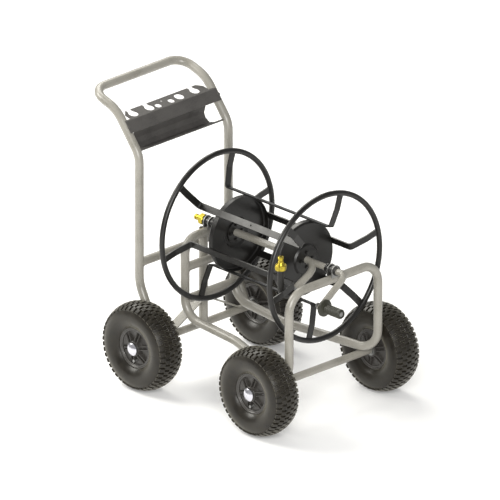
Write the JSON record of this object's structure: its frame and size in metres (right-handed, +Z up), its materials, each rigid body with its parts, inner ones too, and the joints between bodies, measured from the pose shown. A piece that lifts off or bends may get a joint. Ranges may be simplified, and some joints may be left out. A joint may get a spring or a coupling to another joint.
{
  "type": "garden hose reel cart",
  "caption": "Wheeled garden cart that winds a long hose on a cranked open reel and carries hand tools in a rack under its push handle.",
  "frame": {"origin": "on the floor below the middle of the cart", "axes": "+X from the push handle towards the crank, +Y to the cart's left, +Z up"},
  "size_m": [0.9424, 0.5746, 0.8252],
  "materials": {
    "frame_paint": "semi-gloss powder coat",
    "reel_paint": "semi-gloss black enamel",
    "rack_paint": "charcoal powder coat",
    "tyre_rubber": "knobbly pneumatic tyre",
    "rim_plastic": "moulded, satin",
    "zinc_steel": "zinc plated",
    "cap_steel": "plated dome",
    "nylon": "moulded",
    "hose_rubber": "moulded",
    "grip_rubber": "ribbed",
    "brass": "machined"
  },
  "bodies": {
    "frame": {"handle_tube": "frame_paint", "handle_crossbar": "frame_paint", "rear_hoop": "frame_paint", "front_hoop": "frame_paint", "hoop_crossbar_low": "frame_paint", "hoop_crossbar_high": "frame_paint", "centre_post": "frame_paint", "brace_left": "frame_paint", "brace_right": "frame_paint", "rear_axle_tube": "frame_paint", "front_axle_tube": "frame_paint", "rear_axle_rod": "zinc_steel", "front_axle_rod": "zinc_steel", "axle_bushes": "frame_paint", "axle_washers": "zinc_steel", "axle_caps": "cap_steel", "bearing_bracket_rear": "zinc_steel", "bearing_bracket_front": "zinc_steel", "bearing_bush_rear": "nylon", "bearing_bush_front": "nylon", "tool_rack": "rack_paint", "rack_screws": "rack_paint", "rack_trough": "rack_paint", "rail_spigot_left": "frame_paint", "rail_spigot_right": "frame_paint"},
    "reel": {"ring_rear": "reel_paint", "ring_front": "reel_paint", "disc_rear": "reel_paint", "disc_front": "reel_paint", "hub_plate_rear": "reel_paint", "hub_plate_front": "reel_paint", "hub_bolts": "reel_paint", "shaft_pipe": "frame_paint", "shaft_collars": "reel_paint", "outlet_hose": "hose_rubber", "outlet_clamp": "zinc_steel", "outlet_fitting": "brass", "crank_tube": "frame_paint", "crank_pin": "zinc_steel", "strap_1": "reel_paint", "strap_2": "reel_paint", "strap_3": "reel_paint", "strap_4": "reel_paint", "strap_5": "reel_paint", "strap_6": "reel_paint"},
    "grip": {"crank_grip": "grip_rubber"},
    "inlet": {"inlet_swivel": "brass", "inlet_seal": "hose_rubber"},
    "wheel_rear_left": {"tyre_rear_left": "tyre_rubber", "rim_rear_left": "rim_plastic", "bearings_rear_left": "zinc_steel"},
    "wheel_rear_right": {"tyre_rear_right": "tyre_rubber", "rim_rear_right": "rim_plastic", "bearings_rear_right": "zinc_steel"},
    "wheel_front_left": {"tyre_front_left": "tyre_rubber", "rim_front_left": "rim_plastic", "bearings_front_left": "zinc_steel"},
    "wheel_front_right": {"tyre_front_right": "tyre_rubber", "rim_front_right": "rim_plastic", "bearings_front_right": "zinc_steel"}
  },
  "joints": [
    {"name": "reel_spin", "type": "hinge", "parent": "frame", "child": "reel", "pos_m": [-0.16255, 0, 0.44725], "axis": [1, 0, 0], "continuous": true},
    {"name": "grip_spin", "type": "hinge", "parent": "reel", "child": "grip", "pos_m": [0.39725, -0.09748, 0.37899], "axis": [1, 0, 0], "continuous": true},
    {"name": "inlet_spin", "type": "hinge", "parent": "reel", "child": "inlet", "pos_m": [-0.18855, 0, 0.44725], "axis": [1, 0, 0], "continuous": true},
    {"name": "wheel_rear_left_spin", "type": "hinge", "parent": "frame", "child": "wheel_rear_left", "pos_m": [-0.19055, 0.2375, 0.13], "axis": [0, 1, 0], "continuous": true},
    {"name": "wheel_rear_right_spin", "type": "hinge", "parent": "frame", "child": "wheel_rear_right", "pos_m": [-0.19055, -0.2375, 0.13], "axis": [0, 1, 0], "continuous": true},
    {"name": "wheel_front_left_spin", "type": "hinge", "parent": "frame", "child": "wheel_front_left", "pos_m": [0.27945, 0.2375, 0.13], "axis": [0, 1, 0], "continuous": true},
    {"name": "wheel_front_right_spin", "type": "hinge", "parent": "frame", "child": "wheel_front_right", "pos_m": [0.27945, -0.2375, 0.13], "axis": [0, 1, 0], "continuous": true}
  ]
}
